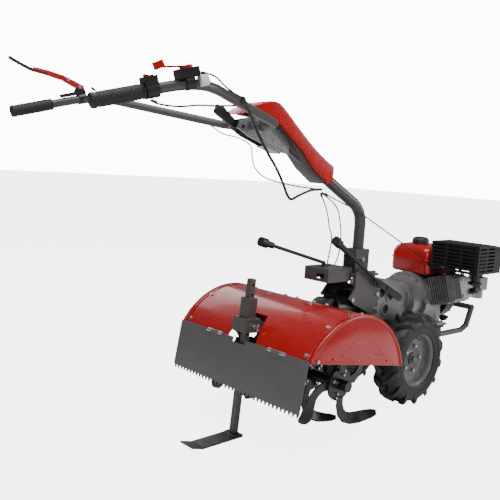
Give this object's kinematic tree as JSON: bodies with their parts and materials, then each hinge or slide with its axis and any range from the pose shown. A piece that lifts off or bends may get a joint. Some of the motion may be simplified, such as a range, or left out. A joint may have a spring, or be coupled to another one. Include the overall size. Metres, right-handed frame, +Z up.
{
  "type": "walking tiller",
  "caption": "Two-wheel walking tiller with engine, hooded rear rotor, depth skid and swivelling handlebars.",
  "frame": {"origin": "on the ground at the centre of the skid shoe's flat sole, on the machine's centre plane", "axes": "+X forward towards the engine, +Y to the operator's left, +Z up"},
  "size_m": [1.8981, 0.8949, 1.1764],
  "materials": {
    "red_gloss": "gloss red paint",
    "red_paint": "red enamel",
    "red_plastic": "moulded red plastic",
    "grey_paint": "satin dark grey paint",
    "flap_paint": "satin mid grey paint",
    "rubber_black": "moulded black rubber",
    "cast_alloy": "as-cast aluminium",
    "zinc_steel": "bright zinc plate",
    "black_paint": "satin black paint",
    "black_plastic": "moulded black plastic",
    "cable_black": "black cable sheath"
  },
  "bodies": {
    "chassis": {"axle_case": "black_paint", "gearbox_housing": "cast_alloy", "bell_housing": "cast_alloy", "side_plates": "grey_paint", "chassis_bolts": "zinc_steel", "column_base": "grey_paint", "shift_gate": "grey_paint", "drive_coupling": "black_paint", "rotor_case": "black_paint", "hood_shell": "red_gloss", "hood_end_right": "red_gloss", "hood_end_left": "red_gloss", "hinge_brackets": "zinc_steel", "depth_socket": "grey_paint", "engine_base": "black_paint", "front_bumper": "grey_paint", "crankcase": "cast_alloy", "cylinder_block": "cast_alloy", "valve_cover": "cast_alloy", "fuel_tank": "red_gloss", "muffler": "black_paint", "muffler_guard": "black_plastic", "air_filter": "black_plastic", "carburettor": "cast_alloy", "fan_housing": "black_plastic", "engine_plugs": "black_plastic"},
    "drive_axle": {"tyre_right": "rubber_black", "tyre_left": "rubber_black", "rim_right": "flap_paint", "rim_left": "flap_paint", "wheel_bolts": "zinc_steel", "wheel_axle": "flap_paint"},
    "rotor": {"rotor_shaft": "black_paint", "tines": "black_paint", "tine_bolts": "zinc_steel"},
    "flap": {"rear_flap": "flap_paint"},
    "depth_leg": {"depth_bar": "grey_paint", "skid_shoe": "black_paint"},
    "depth_screw": {"depth_screw": "zinc_steel"},
    "crank": {"crankshaft": "zinc_steel", "flywheel": "black_paint"},
    "clutch_drum": {"input_shaft": "zinc_steel"},
    "filler_cap": {"fuel_cap": "black_plastic"},
    "column": {"column_tube": "grey_paint", "clamp_plates": "zinc_steel", "console_cover": "red_gloss", "throttle_cable": "cable_black", "clutch_cable": "cable_black"},
    "lock_lever": {"lock_lever": "black_plastic"},
    "handlebars": {"handlebar_right": "grey_paint", "handlebar_left": "grey_paint", "grips": "rubber_black", "throttle_clamp": "black_plastic", "switch_body": "black_plastic", "clutch_bracket": "black_paint"},
    "throttle_lever": {"throttle_lever": "red_plastic"},
    "stop_rocker": {"stop_rocker": "red_plastic"},
    "clutch_lever": {"clutch_lever": "red_paint"},
    "right_shifter": {"shift_lever_right": "black_plastic"},
    "left_shifter": {"shift_lever_left": "black_plastic"}
  },
  "joints": [
    {"name": "wheel_spin", "type": "hinge", "parent": "chassis", "child": "drive_axle", "pos_m": [0.843, 0, 0.181], "axis": [0, 1, 0], "continuous": true},
    {"name": "rotor_spin", "type": "hinge", "parent": "chassis", "child": "rotor", "pos_m": [0.313, 0, 0.197], "axis": [0, 1, 0], "continuous": true},
    {"name": "flap_swing", "type": "hinge", "parent": "chassis", "child": "flap", "pos_m": [0.07637, 0, 0.3221], "axis": [0, 1, 0], "range_deg": [0, 95]},
    {"name": "depth_slide", "type": "slide", "parent": "chassis", "child": "depth_leg", "axis": [0.0785, 0, 0.9969], "range_m": [-0.032, 0.096]},
    {"name": "depth_screw_turn", "type": "hinge", "parent": "chassis", "child": "depth_screw", "pos_m": [0.10425, -0.045, 0.36889], "axis": [0, 1, 0], "continuous": true},
    {"name": "crank_spin", "type": "hinge", "parent": "chassis", "child": "crank", "pos_m": [1.093, 0, 0.378], "axis": [1, 0, 0], "continuous": true},
    {"name": "clutch_drum_spin", "type": "hinge", "parent": "chassis", "child": "clutch_drum", "pos_m": [0.843, 0, 0.378], "axis": [1, 0, 0], "continuous": true},
    {"name": "fuel_cap_turn", "type": "hinge", "parent": "chassis", "child": "filler_cap", "pos_m": [1.088, 0, 0.601], "axis": [0, 0, 1], "range_deg": [0, 90]},
    {"name": "handle_swivel", "type": "hinge", "parent": "chassis", "child": "column", "pos_m": [0.661, 0, 0.6], "axis": [0, 0, 1], "range_deg": [-20, 40], "deforming": ["throttle_cable", "clutch_cable"]},
    {"name": "lock_lever_swing", "type": "hinge", "parent": "column", "child": "lock_lever", "pos_m": [0.10655, 0.09776, 1.002], "axis": [0.1736, 0.9848, 0], "range_deg": [-30, 0]},
    {"name": "handle_height", "type": "hinge", "parent": "column", "child": "handlebars", "pos_m": [0.15875, 0.08856, 1.01], "axis": [0.1736, 0.9848, 0], "range_deg": [-25, 20]},
    {"name": "throttle_lever_swing", "type": "hinge", "parent": "handlebars", "child": "throttle_lever", "pos_m": [-0.34035, -0.19865, 1.09564], "axis": [-0.2627, 0.0631, 0.9628], "range_deg": [-5, 45]},
    {"name": "stop_rocker_tilt", "type": "hinge", "parent": "handlebars", "child": "stop_rocker", "pos_m": [-0.43592, -0.17571, 1.07122], "axis": [0.2334, 0.9724, 0], "range_deg": [0, 6]},
    {"name": "clutch_lever_squeeze", "type": "hinge", "parent": "handlebars", "child": "clutch_lever", "pos_m": [-0.22497, 0.53063, 1.09926], "axis": [-0.1132, -0.9936, 0], "range_deg": [0, 24], "stiffness_Nm_per_rad": 4, "springref_deg": -40.11},
    {"name": "right_shift", "type": "hinge", "parent": "chassis", "child": "right_shifter", "pos_m": [0.751, -0.082, 0.452], "axis": [0, 1, 0], "range_deg": [-6, 6]},
    {"name": "left_shift", "type": "hinge", "parent": "chassis", "child": "left_shifter", "pos_m": [0.501, 0.027, 0.492], "axis": [0, 1, 0], "range_deg": [-6, 6]}
  ]
}
